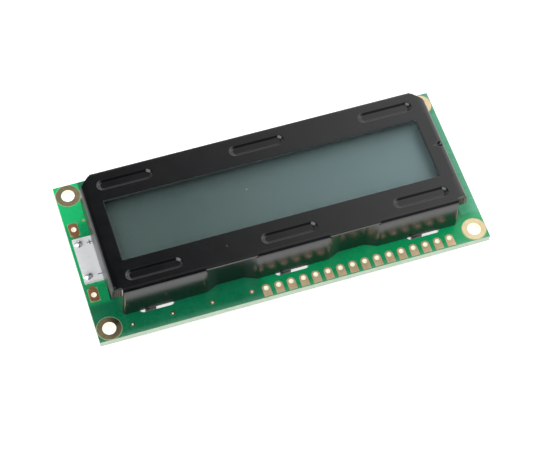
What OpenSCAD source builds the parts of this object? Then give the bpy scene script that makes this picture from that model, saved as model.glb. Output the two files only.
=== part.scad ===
// Character LCD module, 16 columns by 2 rows, lying on its back.
// Origin: middle of the outline, on the surface that the bezel's tab ends stand on.
// +Z is up, out of the display window; +X runs along the rows; -Y is the pin edge.

/* [Circuit board] */
// Length of the board
board_l = 80; // [76:0.5:90]
// Width of the board
board_w = 36; // [36:0.5:44]
// Thickness of the board
board_t = 1.6; // [1.2:0.1:2]
// Spacing of the mounting holes along the board
hole_dx = 75; // [75:0.5:75.5]
// Spacing of the mounting holes across the board
hole_dy = 31; // [31:0.5:31.5]
// Diameter of a mounting hole
hole_d = 2.7; // [2.5:0.1:3]
// Diameter of the plated land round a mounting hole
land_d = 4.8; // [4.2:0.1:4.9]

/* [Terminals] */
// Number of interface holes
pin_count = 16; // [14:1:16]
// Pitch of the interface holes
pin_pitch = 2.54; // [2.54]
// Diameter of an interface hole
pin_d = 1.0; // [0.9:0.05:1.1]
// Last interface hole, from the right edge of the board
pin_edge_x = 8; // [7.5:0.1:9]
// Interface holes, from the front edge of the board
pin_edge_y = 2; // [1.8:0.1:2.5]
// Spacing of the two backlight terminals
lamp_dy = 15.24; // [14.5:0.02:16]
// Diameter of a backlight terminal's hole
lamp_d = 1.1; // [0.9:0.1:1.2]

/* [Bezel] */
// Length of the bezel over its end walls
bezel_l = 71.2; // [71:0.1:71.6]
// Width of the bezel over its skirts
bezel_w = 27; // [26.8:0.1:27.2]
// Height of the bezel's face above the board
bezel_h = 9; // [8.9:0.1:9.6]
// Thickness of the bezel's sheet
sheet = 0.6; // [0.5:0.05:0.6]
// Outer radius of the folds
fold_r = 1; // [0.8:0.1:1.1]
// Length of the display window
window_l = 64.5; // [63:0.5:65]
// Width of the display window
window_w = 13.8; // [13:0.1:14.2]
// Radius of the window's corners
window_r = 0.7; // [0.3:0.1:1.2]
// Corner cut at the rear of the face
corner_cut = 2.4; // [2.2:0.1:2.8]
// Depth by which the walls step in between the skirts
recess_depth = 1.05; // [0.8:0.05:1.05]
// Length of a pressed groove
groove_l = 11.2; // [9:0.1:12]
// Width of a pressed groove
groove_w = 2.4; // [1.8:0.1:2.4]
// Depth of a pressed groove
groove_deep = 0.4; // [0.2:0.05:0.4]
// Length by which the tabs stand out below the board
tab_below = 1.8; // [1.7:0.1:2.2]
// Width of a tab
tab_w = 2.2; // [2:0.1:2.4]
// Turn of the tab ends
tab_turn = 60; // [50:5:75]

/* [Display cell] */
// Length of the upper glass
glass_l = 69; // [68:0.5:69.4]
// Width of the upper glass
glass_w = 23.4; // [22:0.1:23.4]
// Width of the lower glass
lower_glass_w = 18.8; // [18:0.1:19]
// Thickness of each glass
glass_t = 1.1; // [0.7:0.1:1.1]

/* [Backlight] */
// Length of the backlight frame
lamp_frame_l = 68; // [67:0.5:68]
// Width of the backlight frame
lamp_frame_w = 19; // [18.4:0.1:19]
// Width of the lamp board's tab
lamp_board_w = 10; // [9:0.5:10.5]
// Thickness of the lamp board
lamp_board_t = 0.8; // [0.6:0.1:1]

/* [Hidden] */

eps = 0.01;                     // overshoot of a cutting tool
gap = 0.1;                      // clearance round a part in its pocket
plating = 0.05;                 // thickness of copper with its plating
under_z = tab_below;            // underside of the board
top_z = under_z + board_t;      // top of the board
face_z = top_z + bezel_h;       // face of the bezel
round_fn = 48;

// Slots for the bezel's tabs, and the tabs that stand off their middles
slot_l = 7;
slot_w = 1.8;
slot_x = [-27.4, 0, 27.4];
tab_offset = -1.45;
wall_y = bezel_w / 2;           // outer face of the skirts
tab_y = wall_y - sheet / 2;

// Plan of the long walls: three skirts with recessed walls between them
skirt_end = 34.2;               // outer end of the outer skirts
middle_skirt = 7.3;             // half length of the middle skirt
outer_skirt = 17.6;             // inner end of the outer skirts
facet = 2.4;                    // length of the slanted facet beside a recess
curl_r = 0.8;                   // radius of the curled skirt ends
recess_y = wall_y - recess_depth;
lip_y = wall_y - 0.15;          // sharp edge of the face over a recess
end_x = bezel_l / 2;            // outer face of the end walls
notch_x = 33.9;                 // the face is notched beyond this, at the front
gusset_x = 35;                  // outer edge of the corner gussets
gusset_drop = 3.4;              // height of the corner gussets
groove_y = 10.4;
groove_x = [-27, 0, 27];
groove_floor_w = 1;
mark_x = 34.9;                  // small round mark pressed into the right edge
mark_r = 0.5;

// Levels of the display stack
glass_z = face_z - sheet - groove_deep;     // top of the upper glass
seal_t = 0.05;
lower_glass_z = glass_z - glass_t - seal_t; // top of the lower glass
polariser_t = 0.25;
rear_polariser_t = 0.3;
rear_polariser_z = lower_glass_z - glass_t - rear_polariser_t;
lamp_top_z = rear_polariser_z;
front_polariser_w = 17;
rear_polariser_w = 18;
zebra_l = 66;
zebra_w = 2;
zebra_y = 10.65;
plug_r = 0.35;
plug_l = 5;

// Backlight
lamp_wall = 1.2;
lamp_floor = lamp_board_t;
film_t = 0.2;
guide_t = 3.8;
lamp_board_x0 = -39.45;
lamp_board_x1 = -29.5;
guide_x0 = -28.6;
lamp_chip = [1, 2.4, 1.2];
lamp_chip_x = -30.05;
lamp_chip_pitch = 3.2;
lamp_x = -38.4;                 // column of the backlight terminals
joint_x = -38.45;
joint_y = 3.75;
joint_r = 1;
joint_h = 0.6;

// Interface row and vias
pin_x1 = board_l / 2 - pin_edge_x;
pin_y = pin_edge_y - board_w / 2;
via_x = [-33, -25, -17, -9];
via_d = 0.4;
via_land_d = 0.9;

// Chips on board, under the display
blob_x = [-15, 15];
blob_r = 6.5;
blob_h = 1.45;
die_l = 3.4;
die_t = 0.4;

// Surface-mounted chip parts at the back: length, width and height of each kind
small_chip = [2, 1.25, 0.5];
lamp_resistor = [3.2, 1.6, 0.55];
capacitor = [2, 1.25, 0.9];
bias_pitch = 2.6;
clock_xy = [-25, 4];
lamp_resistor_x = -34;
lamp_resistor_y = [-2, 2];
capacitor_x = [26, 30];
capacitor_y = -5;

// ---------------------------------------------------------------- helpers

module at_corners(dx, dy) {
    for (x = [-dx / 2, dx / 2], y = [-dy / 2, dy / 2])
        translate([x, y, 0]) children();
}

// A flat block centred in X and Y, with its floor at z
module slab(l, w, z, t) {
    translate([-l / 2, -w / 2, z]) cube([l, w, t]);
}

// A block given by its lowest and highest corners
module block(a, b) {
    translate(a) cube(b - a);
}

module round_rect(l, w, r) {
    union() {
        square([l - 2 * r, w], center = true);
        square([l, w - 2 * r], center = true);
        for (x = [r - l / 2, l / 2 - r], y = [r - w / 2, w / 2 - r])
            translate([x, y]) circle(r, $fn = round_fn);
    }
}

module obround(l, w) {
    union() {
        square([l - w, w], center = true);
        for (x = [w / 2 - l / 2, l / 2 - w / 2])
            translate([x, 0]) circle(d = w, $fn = round_fn);
    }
}

// A spherical cap of the given base radius and height, standing on z = 0
module cap(r, h) {
    ball = (r * r + h * h) / (2 * h);
    intersection() {
        translate([0, 0, h - ball]) sphere(ball, $fn = 96);
        cylinder(r = r + 1, h = h + 1, $fn = round_fn);
    }
}

// A tube through the board that lines one hole
module barrel(d) {
    translate([0, 0, under_z - plating]) difference() {
        cylinder(d = d + 2 * plating, h = board_t + 2 * plating, $fn = round_fn);
        translate([0, 0, -eps])
            cylinder(d = d, h = board_t + 2 * plating + 2 * eps, $fn = round_fn);
    }
}

// Copper on both faces of the board round one hole, with the 2D land as child
module plated_hole(d, back_d) {
    barrel(d);
    translate([0, 0, top_z]) linear_extrude(plating) difference() {
        children();
        circle(d = d + 2 * plating, $fn = round_fn);
    }
    translate([0, 0, under_z - plating]) linear_extrude(plating) difference() {
        circle(d = back_d, $fn = round_fn);
        circle(d = d + 2 * plating, $fn = round_fn);
    }
}

// ---------------------------------------------------------------- board

module drill(d) {
    translate([0, 0, under_z - eps])
        cylinder(d = d + 2 * plating, h = board_t + 2 * eps, $fn = round_fn);
}

module at_pins() {
    for (i = [0 : pin_count - 1])
        translate([pin_x1 - i * pin_pitch, pin_y, 0]) children();
}

module at_vias() {
    for (x = via_x) translate([x, pin_y, 0]) children();
}

module at_lamp_terminals() {
    for (y = [-lamp_dy / 2, lamp_dy / 2]) translate([lamp_x, y, 0]) children();
}

module circuit_board() {
    color([0.02, 0.47, 0.31]) difference() {
        slab(board_l, board_w, under_z, board_t);
        at_corners(hole_dx, hole_dy) drill(hole_d);
        at_pins() drill(pin_d);
        at_lamp_terminals() drill(lamp_d);
        at_vias() drill(via_d);
        for (x = slot_x, y = [-tab_y, tab_y])
            translate([x, y, under_z - eps])
                linear_extrude(board_t + 2 * eps) obround(slot_l, slot_w);
    }
}

module mounting_lands() {
    color([0.72, 0.58, 0.36])
        at_corners(hole_dx, hole_dy)
            plated_hole(hole_d, land_d) circle(d = land_d, $fn = round_fn);
}

// Each interface land runs from its hole out to the edge of the board
module pin_lands() {
    land_w = 1.7;
    reach = pin_edge_y - 0.2;   // stops just short of the edge
    color([0.7, 0.52, 0.35]) at_pins() plated_hole(pin_d, land_w) union() {
        circle(d = land_w, $fn = round_fn);
        translate([-land_w / 2, -reach]) square([land_w, reach]);
    }
}

// The backlight lands have a neck that runs up to the lamp board
module backlight_lands() {
    land = [2.1, 3];
    neck_w = 1.2;
    reach = lamp_dy / 2 - lamp_board_w / 2 - gap;
    color([0.6, 0.4, 0.22]) for (side = [-1, 1])
        translate([lamp_x, side * lamp_dy / 2, 0]) plated_hole(lamp_d, land[0]) union() {
            square(land, center = true);
            translate([-neck_w / 2, side > 0 ? -reach : 0]) square([neck_w, reach]);
        }
}

module via_rings() {
    color([0.6, 0.45, 0.25]) at_vias() plated_hole(via_d, via_land_d)
        circle(d = via_land_d, $fn = round_fn);
}

// Two rows of fingers under the zebra strips
module contact_fingers() {
    finger = [0.7, 2];
    pitch = 1.6;
    per_row = 40;
    color([0.8, 0.62, 0.3])
        for (i = [0 : per_row - 1], side = [-1, 1])
            translate([(i - (per_row - 1) / 2) * pitch, side * zebra_y, 0])
                slab(finger[0], finger[1], top_z, plating);
}

// ---------------------------------------------------------------- bezel

// Profile of a skirt: a quarter-round fold at the face and a wall down to foot
module skirt_profile(foot) {
    union() {
        translate([-fold_r, face_z - fold_r]) intersection() {
            difference() {
                circle(fold_r, $fn = 64);
                circle(fold_r - sheet, $fn = 64);
            }
            square(fold_r);
        }
        translate([-sheet, foot]) square([sheet, face_z - fold_r - foot]);
    }
}

// A skirt along X, from x0 to x1, whose outer face is at y = wall_y
module long_skirt(x0, x1) {
    translate([x0, wall_y, 0]) rotate([90, 0, 90])
        linear_extrude(x1 - x0) skirt_profile(top_z);
}

// The outer end of a skirt curls inwards by a quarter turn, from inside the flat wall
module curled_end(side) {
    root = 0.3;
    centre = [side * (skirt_end - curl_r), wall_y - curl_r, top_z];
    translate(centre) linear_extrude(bezel_h - fold_r) union() {
        intersection() {
            difference() {
                circle(curl_r, $fn = 64);
                circle(curl_r - sheet, $fn = 64);
            }
            translate([side > 0 ? 0 : -curl_r, 0]) square(curl_r);
        }
        translate([side > 0 ? -root : 0, curl_r - sheet]) square([root, sheet]);
    }
}

// Plan of the recessed wall and its two facets, between x0 and x1
module recess_plan(x0, x1) {
    turn = atan2(recess_depth, facet);
    d = sheet * tan(turn / 2);
    polygon([[x0, wall_y], [x0 + facet, recess_y], [x1 - facet, recess_y], [x1, wall_y],
             [x1 + d, wall_y - sheet], [x1 - facet + d, recess_y - sheet],
             [x0 + facet - d, recess_y - sheet], [x0 - d, wall_y - sheet]]);
}

// One long wall, on the +Y side
module long_wall() {
    under_lip = face_z - sheet;
    for (s = [-1, 1]) {
        x0 = s > 0 ? outer_skirt : curl_r - skirt_end;
        long_skirt(x0, x0 + skirt_end - curl_r - outer_skirt);
        curled_end(s);
        x1 = s > 0 ? middle_skirt : -outer_skirt;
        translate([0, 0, top_z]) linear_extrude(under_lip - top_z)
            recess_plan(x1, x1 + outer_skirt - middle_skirt);
        // the face runs on to a sharp lip over the recess
        block([x1, wall_y - fold_r - eps, under_lip],
              [x1 + outer_skirt - middle_skirt, lip_y, face_z]);
    }
    long_skirt(-middle_skirt, middle_skirt);
}

// An end wall on the +X side, from y0 to y1
module end_wall(y0, y1) {
    translate([end_x, y1, 0]) rotate([90, 0, 0])
        linear_extrude(y1 - y0) skirt_profile(top_z);
}

// The short wall that closes a front corner, folded down from the face
module corner_gusset() {
    gusset_y = -recess_y;
    block([notch_x, gusset_y, face_z - gusset_drop],
          [gusset_x, gusset_y + sheet, face_z - sheet / 2]);
}

module groove_solid(l, w, floor_w, deep) {
    half = (l - w) / 2;
    for (x = [-half, half])
        translate([x, 0, -deep])
            cylinder(d1 = floor_w, d2 = w, h = deep, $fn = round_fn);
    translate([-half, 0, 0]) rotate([90, 0, 90]) linear_extrude(2 * half)
        polygon([[-w / 2, 0], [-floor_w / 2, -deep], [floor_w / 2, -deep], [w / 2, 0]]);
}

module at_grooves() {
    for (x = groove_x, y = [-groove_y, groove_y]) translate([x, y, 0]) children();
}

// Outline of the flat of the face, up to where the folds begin
module face_plan() {
    x = end_x - fold_r;
    y = wall_y - fold_r;
    polygon([[-x, -recess_y], [-notch_x, -recess_y], [-notch_x, -y], [notch_x, -y],
             [notch_x, -recess_y], [x, -recess_y], [x, y], [-x, y]]);
}

// A tab: its neck passes the slot, and its end is turned under the board
module tab(x, y) {
    root = 0.5;     // the neck begins this far up in the skirt
    core = 0.42;    // thickness of the twist, where the neck and the end cross
    translate([x, y, 0]) {
        slab(tab_w, sheet, under_z, board_t + root);
        slab(core, core, under_z - core, 2 * core);
        rotate([0, 0, tab_turn]) slab(tab_w, sheet, 0, under_z);
    }
}

module bezel_shell() {
    difference() {
        union() {
            translate([0, 0, face_z - sheet]) linear_extrude(sheet) face_plan();
            for (s = [0, 1]) mirror([0, s, 0]) long_wall();
            for (s = [0, 1]) mirror([s, 0, 0]) {
                end_wall(-recess_y + sheet / 2, wall_y);
                corner_gusset();
            }
            at_grooves() translate([0, 0, face_z - sheet])
                groove_solid(groove_l + sheet, groove_w + sheet,
                             groove_floor_w + sheet, groove_deep);
        }
        at_grooves() translate([0, 0, face_z])
            groove_solid(groove_l, groove_w, groove_floor_w, groove_deep);
        // the rear corners are cut off at 45 degrees
        for (s = [-1, 1]) translate([s * end_x, wall_y, 0]) rotate([0, 0, 45])
            slab(corner_cut * sqrt(2), corner_cut * sqrt(2), top_z - eps,
                 bezel_h + 2 * eps);
        translate([0, 0, face_z - sheet - eps]) linear_extrude(sheet + 2 * eps)
            round_rect(window_l, window_w, window_r);
        // the lamp board passes under the left end wall
        block([-end_x - eps, -lamp_board_w / 2 - gap, top_z - eps],
              [-end_x + sheet + eps, lamp_board_w / 2 + gap, top_z + lamp_board_t + gap]);
        // centre mark in the right edge of the face
        translate([mark_x, 0, face_z]) sphere(mark_r, $fn = round_fn);
    }
}

module bezel_frame() {
    color([0.1, 0.1, 0.105]) union() {
        bezel_shell();
        for (x = slot_x, y = [-tab_y, tab_y]) tab(x + tab_offset, y);
    }
}

// ---------------------------------------------------------------- display cell

module front_polariser() {
    color([0.36, 0.44, 0.43])
        slab(glass_l - 1.4, front_polariser_w, glass_z, polariser_t);
}

module upper_glass() {
    color([0.7, 0.8, 0.78, 0.5]) slab(glass_l, glass_w, glass_z - glass_t, glass_t);
}

// Glue line round the edge of the two glasses, open at the fill port
module cell_seal() {
    seal_w = 1;
    port_w = 4;
    color([0.5, 0.52, 0.48]) difference() {
        slab(glass_l, lower_glass_w, lower_glass_z, seal_t);
        slab(glass_l - 2 * seal_w, lower_glass_w - 2 * seal_w, lower_glass_z - eps,
             seal_t + 2 * eps);
        block([glass_l / 2 - seal_w - eps, -port_w / 2, lower_glass_z - eps],
              [glass_l / 2 + eps, port_w / 2, lower_glass_z + seal_t + eps]);
    }
}

// The bead that closes the fill port, on the right edge of the glasses
module fill_port_plug() {
    color([0.85, 0.8, 0.6]) translate([glass_l / 2, 0, lower_glass_z]) intersection() {
        rotate([90, 0, 0]) cylinder(r = plug_r, h = plug_l, center = true, $fn = round_fn);
        block([0, -plug_l, -plug_r], [plug_r, plug_l, plug_r]);
    }
}

module lower_glass() {
    color([0.7, 0.8, 0.78, 0.5])
        slab(glass_l, lower_glass_w, lower_glass_z - glass_t, glass_t);
}

module rear_polariser() {
    color([0.5, 0.58, 0.55])
        slab(glass_l - 2, rear_polariser_w, rear_polariser_z, rear_polariser_t);
}

// Layered rubber strips that carry the signals from the board up to the glass
module zebra_strip(side) {
    foot = top_z + plating;
    translate([0, side * zebra_y, 0])
        slab(zebra_l, zebra_w, foot, glass_z - glass_t - foot);
}

module zebra_strip_front() {
    color([0.85, 0.6, 0.62]) zebra_strip(-1);
}

module zebra_strip_rear() {
    color([0.85, 0.6, 0.62]) zebra_strip(1);
}

// ---------------------------------------------------------------- backlight

module backlight_frame() {
    inner_l = lamp_frame_l - 2 * lamp_wall;
    inner_w = lamp_frame_w - 2 * lamp_wall;
    height = lamp_top_z - top_z;
    color([0.93, 0.93, 0.92]) difference() {
        slab(lamp_frame_l, lamp_frame_w, top_z, height);
        slab(inner_l, inner_w, top_z + lamp_floor, height);
        block([-lamp_frame_l / 2 - eps, -lamp_board_w / 2, top_z - eps],
              [lamp_board_x1, lamp_board_w / 2, top_z + lamp_board_t]);
    }
}

// A film or plate in the frame's pocket, from x0 to the right end of the pocket
module in_pocket(x0, z, t) {
    inner = lamp_frame_l / 2 - lamp_wall - gap;
    half = lamp_frame_w / 2 - lamp_wall - gap;
    block([x0, -half, z], [inner, half, z + t]);
}

module reflector_film() {
    color([0.97, 0.97, 0.97]) in_pocket(guide_x0, top_z + lamp_floor, film_t);
}

module light_guide() {
    color([0.85, 0.92, 0.95, 0.6])
        in_pocket(guide_x0, top_z + lamp_floor + film_t, guide_t);
}

module diffuser_film() {
    color([0.95, 0.96, 0.95])
        in_pocket(guide_x0, top_z + lamp_floor + film_t + guide_t, film_t);
}

// The lamp board reaches out of the bezel as a tab with the two supply pads
module lamp_board() {
    color([0.88, 0.89, 0.9])
        block([lamp_board_x0, -lamp_board_w / 2, top_z],
              [lamp_board_x1, lamp_board_w / 2, top_z + lamp_board_t]);
}

module lamp_chips() {
    color([0.95, 0.9, 0.6]) for (i = [-1, 0, 1])
        translate([lamp_chip_x, i * lamp_chip_pitch, 0])
            slab(lamp_chip[0], lamp_chip[1], top_z + lamp_board_t, lamp_chip[2]);
}

module supply_joint(side) {
    color([0.8, 0.8, 0.81]) translate([joint_x, side * joint_y, top_z + lamp_board_t])
        cap(joint_r, joint_h);
}

module positive_joint() { supply_joint(1); }

module negative_joint() { supply_joint(-1); }

// ---------------------------------------------------------------- rear electronics

module die(x) {
    color([0.4, 0.42, 0.48]) translate([x, 0, 0])
        slab(die_l, die_l, under_z - die_t, die_t);
}

// A dome of epoxy under the board, over its die
module blob(x) {
    color([0.06, 0.06, 0.065]) difference() {
        translate([x, 0, under_z]) mirror([0, 0, 1]) cap(blob_r, blob_h);
        translate([x, 0, 0]) slab(die_l, die_l, under_z - die_t, die_t + eps);
    }
}

module controller_die() { die(blob_x[0]); }

module controller_blob() { blob(blob_x[0]); }

module driver_die() { die(blob_x[1]); }

module driver_blob() { blob(blob_x[1]); }

// A surface-mounted chip part of size [l, w, t] under the board, turned by a
module chip_part(x, y, size, a = 0) {
    translate([x, y, 0]) rotate([0, 0, a])
        slab(size[0], size[1], under_z - size[2], size[2]);
}

module bias_resistors() {
    color([0.09, 0.09, 0.1]) for (i = [-2 : 2])
        chip_part(0, i * bias_pitch, small_chip);
}

module clock_resistor() {
    color([0.09, 0.09, 0.1]) chip_part(clock_xy[0], clock_xy[1], small_chip, 90);
}

module lamp_resistors() {
    color([0.09, 0.09, 0.1]) for (y = lamp_resistor_y)
        chip_part(lamp_resistor_x, y, lamp_resistor);
}

module filter_capacitors() {
    color([0.62, 0.5, 0.38]) for (x = capacitor_x)
        chip_part(x, capacitor_y, capacitor, 90);
}

circuit_board();
mounting_lands();
pin_lands();
backlight_lands();
via_rings();
contact_fingers();
bezel_frame();
front_polariser();
upper_glass();
cell_seal();
fill_port_plug();
lower_glass();
rear_polariser();
zebra_strip_front();
zebra_strip_rear();
backlight_frame();
light_guide();
diffuser_film();
reflector_film();
lamp_board();
lamp_chips();
positive_joint();
negative_joint();
controller_die();
controller_blob();
driver_die();
driver_blob();
bias_resistors();
clock_resistor();
lamp_resistors();
filter_capacitors();
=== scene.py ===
"""Looks of a 16 x 2 character display module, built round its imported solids.

Lengths in the builders below are in millimetres; place() turns them into metres.
x runs along the rows, -y is towards the row of interface holes, z is up out of
the display window.
"""
import math
from collections import Counter

import bmesh
import bpy
import numpy as np
from mathutils import Matrix, Vector


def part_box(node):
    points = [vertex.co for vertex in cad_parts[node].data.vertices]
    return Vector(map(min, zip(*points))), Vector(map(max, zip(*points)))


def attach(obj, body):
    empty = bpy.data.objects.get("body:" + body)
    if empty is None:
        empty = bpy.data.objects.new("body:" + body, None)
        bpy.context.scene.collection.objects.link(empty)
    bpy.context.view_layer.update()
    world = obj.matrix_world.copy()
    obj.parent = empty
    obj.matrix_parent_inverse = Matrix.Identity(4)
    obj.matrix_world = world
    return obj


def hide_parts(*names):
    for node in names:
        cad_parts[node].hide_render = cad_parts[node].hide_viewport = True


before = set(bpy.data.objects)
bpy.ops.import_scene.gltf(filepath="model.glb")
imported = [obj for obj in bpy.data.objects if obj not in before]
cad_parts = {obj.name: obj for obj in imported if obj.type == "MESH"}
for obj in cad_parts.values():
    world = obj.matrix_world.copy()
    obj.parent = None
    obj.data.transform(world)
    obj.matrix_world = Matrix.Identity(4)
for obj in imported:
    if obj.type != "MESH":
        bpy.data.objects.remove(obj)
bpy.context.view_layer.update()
MM = 0.001


def corners(node):
    """Lowest and highest corner of a solid, in millimetres."""
    return [[float(v) for v in np.array(c) / MM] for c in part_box(node)]


UNDER, TOP = (c[2] for c in corners("circuit_board"))   # underside and top of the board
HALF_L, _, FACE = corners("bezel_frame")[1]     # outside of the end walls; the face
HALF_W = HALF_L - 22.1              # outer face of the skirts; the tabs reach beyond it
_, TAB_Y, TAB_TOP = corners("lamp_board")[1]    # half width and top of the white tab
HOLE_X, HOLE_Y = 37.5, 15.5         # corner holes
WIRE_X, WIRE_Y = -38.4, 7.62        # holes for the backlight's wires
JOINT_Y = 3.75                      # solder joints on the white tab
SIT = np.array([0.2, 0.1, 0.0])     # how far off centre the bezel sits


# ---------------- mesh helpers

def place(name, points, faces, slot, material, sharp=40.0, replaces=()):
    """Makes a piece from points in millimetres and faces, smooth but for edges sharper
    than the given angle, and rides it on the one body."""
    mesh = bpy.data.meshes.new(name)
    mesh.from_pydata((np.asarray(points, float) * MM).tolist(), [], faces)
    bm = bmesh.new()
    bm.from_mesh(mesh)
    bmesh.ops.recalc_face_normals(bm, faces=bm.faces)
    bm.to_mesh(mesh)
    bm.free()
    mesh.polygons.foreach_set("use_smooth", np.ones(len(mesh.polygons), bool))
    mesh.set_sharp_from_angle(angle=math.radians(sharp))
    piece = bpy.data.objects.new(name, mesh)
    bpy.context.scene.collection.objects.link(piece)
    mesh.materials.append(material)
    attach(piece, "root")
    if replaces:
        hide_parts(*replaces)
    return piece


def grid_faces(rows, cols, wrap=False, start=0):
    """Quads of a grid whose point (i, j) has number start + i * cols + j. With wrap, the
    last column joins the first."""
    i, j = np.meshgrid(np.arange(rows - 1), np.arange(cols if wrap else cols - 1),
                       indexing="ij")
    k = (j + 1) % cols
    quads = np.stack([i * cols + j, i * cols + k, (i + 1) * cols + k, (i + 1) * cols + j], -1)
    return (quads.reshape(-1, 4) + start).tolist()


def closed_tube(rings):
    """A closed solid through rings of points, shape (rings, points, 3): quads between
    neighbouring rings, and one flat cap at each end."""
    n, m = rings.shape[:2]
    faces = grid_faces(n, m, wrap=True)
    faces.append(list(range(m)))
    faces.append(list(range((n - 1) * m, n * m))[::-1])
    return rings.reshape(-1, 3), faces


def merge_solids(solids):
    """Several (points, faces) solids as one list of points and faces."""
    points, faces, base = [], [], 0
    for p, f in solids:
        points.append(np.asarray(p, float))
        faces.extend([[i + base for i in face] for face in f])
        base += len(p)
    return np.concatenate(points), faces


def sheet_solid(patches):
    """Welds patches of a bent sheet into one closed solid.

    Each patch is a pair of grids, its outer and its inner skin. Points whose outer and
    inner places both agree are one point; each cell gives a quad on both skins; and
    each edge that only one cell uses gets a quad from skin to skin, which is the cut
    edge of the sheet."""
    pairs, quads, base = [], [], 0
    for outer, inner in patches:
        rows, cols = outer.shape[:2]
        pairs.append(np.concatenate([outer, inner], 2).reshape(-1, 6))
        quads.append(np.array(grid_faces(rows, cols, start=base)))
        base += rows * cols
    pairs = np.concatenate(pairs)
    quads = np.concatenate(quads)
    _, first, same = np.unique(np.round(pairs, 4), axis=0, return_index=True,
                               return_inverse=True)
    pairs, quads = pairs[first], same.reshape(-1)[quads]
    points = np.concatenate([pairs[:, :3], pairs[:, 3:]])
    shift = len(pairs)
    skin = []
    for q in quads.tolist():
        ring = [p for n, p in enumerate(q) if p != q[n - 1]]
        if len(set(ring)) == len(ring) and len(ring) > 2:
            skin.append(ring)
    edges = [e for ring in skin for e in zip(ring, ring[1:] + ring[:1])]
    uses = Counter((min(e), max(e)) for e in edges)
    faces = skin + [[p + shift for p in ring[::-1]] for ring in skin]
    faces += [[b, a, a + shift, b + shift] for a, b in edges
              if uses[min(a, b), max(a, b)] == 1]
    return points, faces


def rounded_outline(length, width, radius, n=5):
    """Outline of a rectangle with round corners, a quarter circle at each."""
    a = np.linspace(0, math.pi / 2, n)
    out = []
    for k, (sx, sy) in enumerate([(1, 1), (-1, 1), (-1, -1), (1, -1)]):
        t = a + k * math.pi / 2
        out.append(np.stack([sx * (length / 2 - radius) + radius * np.cos(t),
                             sy * (width / 2 - radius) + radius * np.sin(t)], 1))
    return np.concatenate(out)


def soft_block(length, width, z0, z1, radius, middle=0.0):
    """A block with rounded edges all round, its middle at (middle, 0): rings of a rounded
    rectangle, drawn in by r * (1 - cos a) and lifted by r * sin a along each quarter-round
    edge."""
    a = np.linspace(0, math.pi / 2, 4)
    inset = np.concatenate([radius * (1 - np.cos(a[::-1])), radius * (1 - np.cos(a))])
    level = np.concatenate([z0 + radius * (1 - np.sin(a[::-1])),
                            z1 - radius * (1 - np.sin(a))])
    rings = []
    for d, z in zip(inset, level):
        o = rounded_outline(length - 2 * d, width - 2 * d, max(radius * 1.2 - d, 0.01))
        rings.append(np.column_stack([o[:, 0] + middle, o[:, 1], np.full(len(o), z)]))
    return closed_tube(np.array(rings))


# ---------------- node helpers

BUMP, FINE_BUMP = 0.00002, 0.00001      # full heights of the bumps, in metres


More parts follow.
